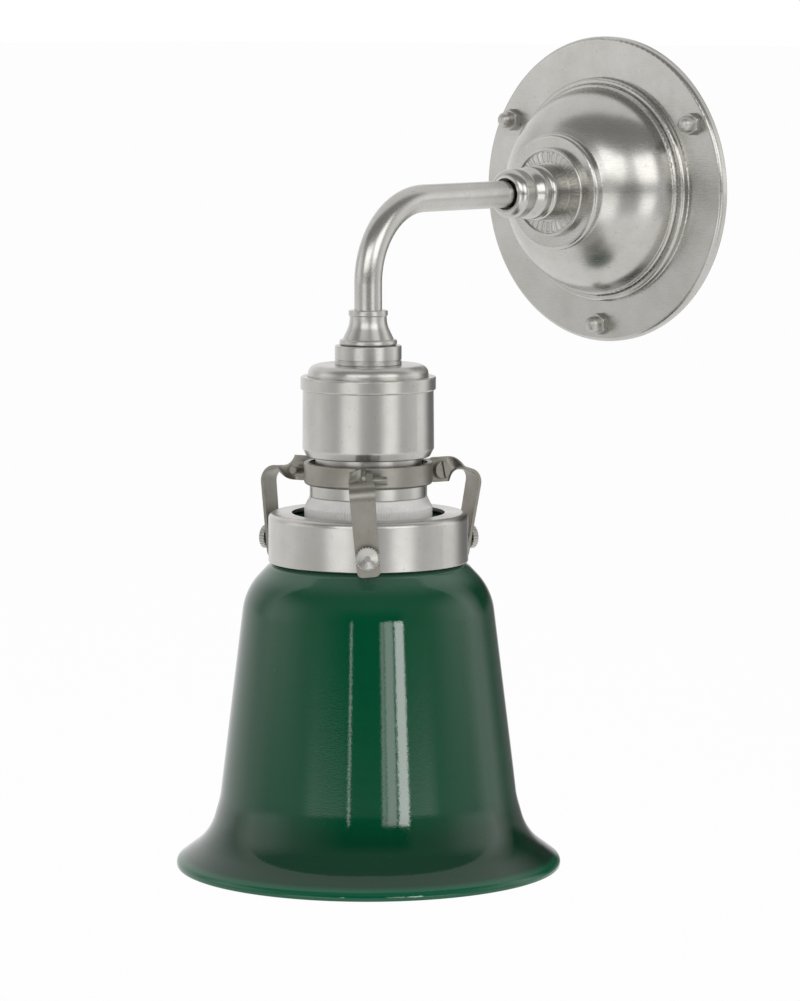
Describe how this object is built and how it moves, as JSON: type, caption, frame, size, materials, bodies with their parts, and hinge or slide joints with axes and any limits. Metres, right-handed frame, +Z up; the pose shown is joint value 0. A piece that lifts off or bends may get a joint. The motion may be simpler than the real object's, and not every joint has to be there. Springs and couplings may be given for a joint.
{
  "type": "gooseneck wall sconce",
  "caption": "Gooseneck wall sconce: round stepped wall rose, bent tube arm, lampholder cup, strap-hung gallery with thumbscrews and a green glass bell shade.",
  "frame": {"origin": "centre of the wall plate's back face, on the wall, where the fixing holes are centred", "axes": "+Z up; +Y into the wall, so the arm leaves the wall along -Y; the lamp axis is vertical, 127 mm from the wall; +X to the right for someone facing the wall"},
  "size_m": [0.1326, 0.1933, 0.2839],
  "materials": {
    "polished_nickel": "polished nickel plate",
    "satin_nickel": "satin nickel plate, turned",
    "dull_steel": "dull nickel-plated steel",
    "zinc_steel": "zinc-plated steel",
    "raw_brass": "plain brass",
    "porcelain": "glazed, fine ribs",
    "insulating_porcelain": "unglazed",
    "block_plastic": "moulded",
    "flex_sheath": "smooth sheath",
    "core_sheath": "smooth",
    "green_glass": "thick deep green glass, glossy"
  },
  "bodies": {
    "root": {"wall_plate": "zinc_steel", "plate_studs": "zinc_steel", "wall_rose": "polished_nickel", "cap_nuts": "polished_nickel", "arm_boss": "satin_nickel", "arm_nipple": "zinc_steel", "lock_washer": "zinc_steel", "lock_nut": "raw_brass", "terminal_block": "block_plastic", "terminal_poles": "raw_brass", "terminal_screws": "zinc_steel", "rose_cores": "core_sheath", "arm_tube": "satin_nickel", "arm_flex": "flex_sheath", "tube_ferrule": "satin_nickel", "ferrule_ring": "satin_nickel", "holder_cap": "satin_nickel", "entry_nut": "raw_brass", "holder_body": "satin_nickel", "holder_sleeve": "satin_nickel", "porcelain_ring": "porcelain", "holder_insulator": "insulating_porcelain", "screw_shell": "raw_brass", "contact_barrel": "raw_brass", "live_terminal": "raw_brass", "neutral_terminal": "raw_brass", "pillar_screws": "zinc_steel", "holder_cores": "core_sheath", "clamp_screws": "dull_steel", "clamp_nuts": "dull_steel", "gallery_ring": "satin_nickel", "glass_shade": "green_glass", "band_arc_right": "dull_steel", "band_arc_back": "dull_steel", "band_arc_left": "dull_steel", "strap_front": "dull_steel", "strap_right": "dull_steel", "strap_left": "dull_steel"},
    "thumbscrew_front": {"thumbscrew_front": "satin_nickel"},
    "thumbscrew_right": {"thumbscrew_right": "satin_nickel"},
    "thumbscrew_left": {"thumbscrew_left": "satin_nickel"},
    "centre_contact": {"centre_contact": "raw_brass"}
  },
  "joints": [
    {"name": "thumb_front_slide", "type": "slide", "parent": "root", "child": "thumbscrew_front", "axis": [0.6737, -0.739, 0], "range_m": [0, 0.003]},
    {"name": "thumb_right_slide", "type": "slide", "parent": "root", "child": "thumbscrew_right", "axis": [0.3032, 0.9529, 0], "range_m": [0, 0.003]},
    {"name": "thumb_left_slide", "type": "slide", "parent": "root", "child": "thumbscrew_left", "axis": [-0.9769, -0.2139, 0], "range_m": [0, 0.003]},
    {"name": "centre_contact_slide", "type": "slide", "parent": "root", "child": "centre_contact", "axis": [0, 0, 1], "range_m": [0, 0.0015], "stiffness_N_per_m": 1500, "springref_m": -0.0005}
  ]
}
